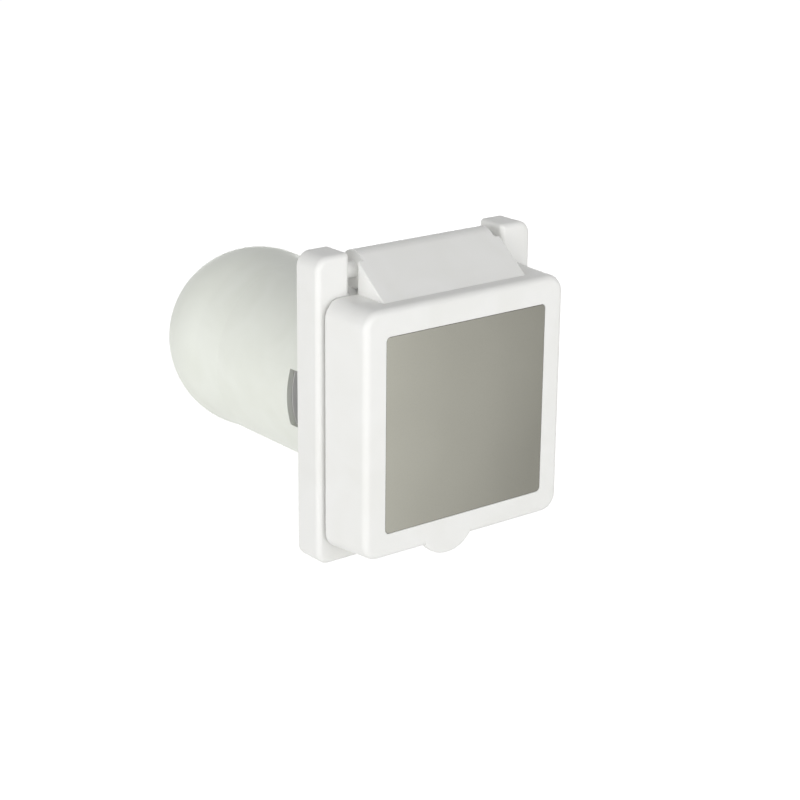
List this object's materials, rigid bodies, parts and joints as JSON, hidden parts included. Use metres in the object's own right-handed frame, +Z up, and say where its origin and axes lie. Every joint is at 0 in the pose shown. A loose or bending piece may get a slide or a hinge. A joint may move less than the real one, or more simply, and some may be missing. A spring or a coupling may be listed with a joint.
{
  "type": "shore power inlet",
  "caption": "Square wall-mounted power inlet with a hinged lid and grey face plate, threaded collar with curved blades, and a closed round rear enclosure with a cable gland.",
  "frame": {"origin": "centre of the flange's mounting face, on the axis of the round enclosure and of the four mounting holes", "axes": "+Y along the enclosure, away from the lid and into the wall; +Z up, towards the hinge; the front faces -Y"},
  "size_m": [0.112, 0.1944, 0.1316],
  "materials": {
    "housing_white": "moulded UV-stable white plastic, semi-gloss",
    "enclosure_white": "moulded white plastic, slightly green, semi-gloss",
    "face_plate": "satin anodised aluminium, warm grey",
    "rubber_black": "moulded rubber",
    "rubber_grey": "closed-cell foam rubber",
    "carrier_black": "moulded black contact insert",
    "stainless": "passivated stainless steel",
    "blade_brass": "nickel-tinted brass",
    "terminal_brass": "machined brass",
    "gland_nylon": "moulded grey-white nylon"
  },
  "bodies": {
    "base": {"flange_housing": "housing_white", "mounting_gasket": "rubber_grey", "hinge_pin": "stainless", "hinge_pin_plug": "housing_white", "inlet_collar": "housing_white", "collar_gasket": "rubber_black", "collar_o_ring": "rubber_black", "contact_carrier": "carrier_black", "carrier_screws": "stainless", "terminal_shroud": "carrier_black", "blade_ground": "blade_brass", "blade_hot": "blade_brass", "blade_neutral": "blade_brass", "terminal_block_ground": "terminal_brass", "terminal_block_hot": "terminal_brass", "terminal_block_neutral": "terminal_brass", "terminal_screw_ground": "stainless", "terminal_screw_hot": "stainless", "terminal_screw_neutral": "stainless", "rear_sleeve": "enclosure_white", "rear_cap": "enclosure_white", "cap_o_ring": "rubber_black", "gland_washer": "rubber_black", "gland_body": "gland_nylon", "gland_seal": "rubber_black", "gland_nut": "gland_nylon", "gland_locknut": "gland_nylon"},
    "lid": {"lid": "housing_white", "lid_face_plate": "face_plate", "lid_seal": "rubber_grey"}
  },
  "joints": [
    {"name": "lid_hinge", "type": "hinge", "parent": "base", "child": "lid", "pos_m": [0, -0.0086, 0.0634], "axis": [-1, 0, 0], "range_deg": [0, 110]}
  ]
}
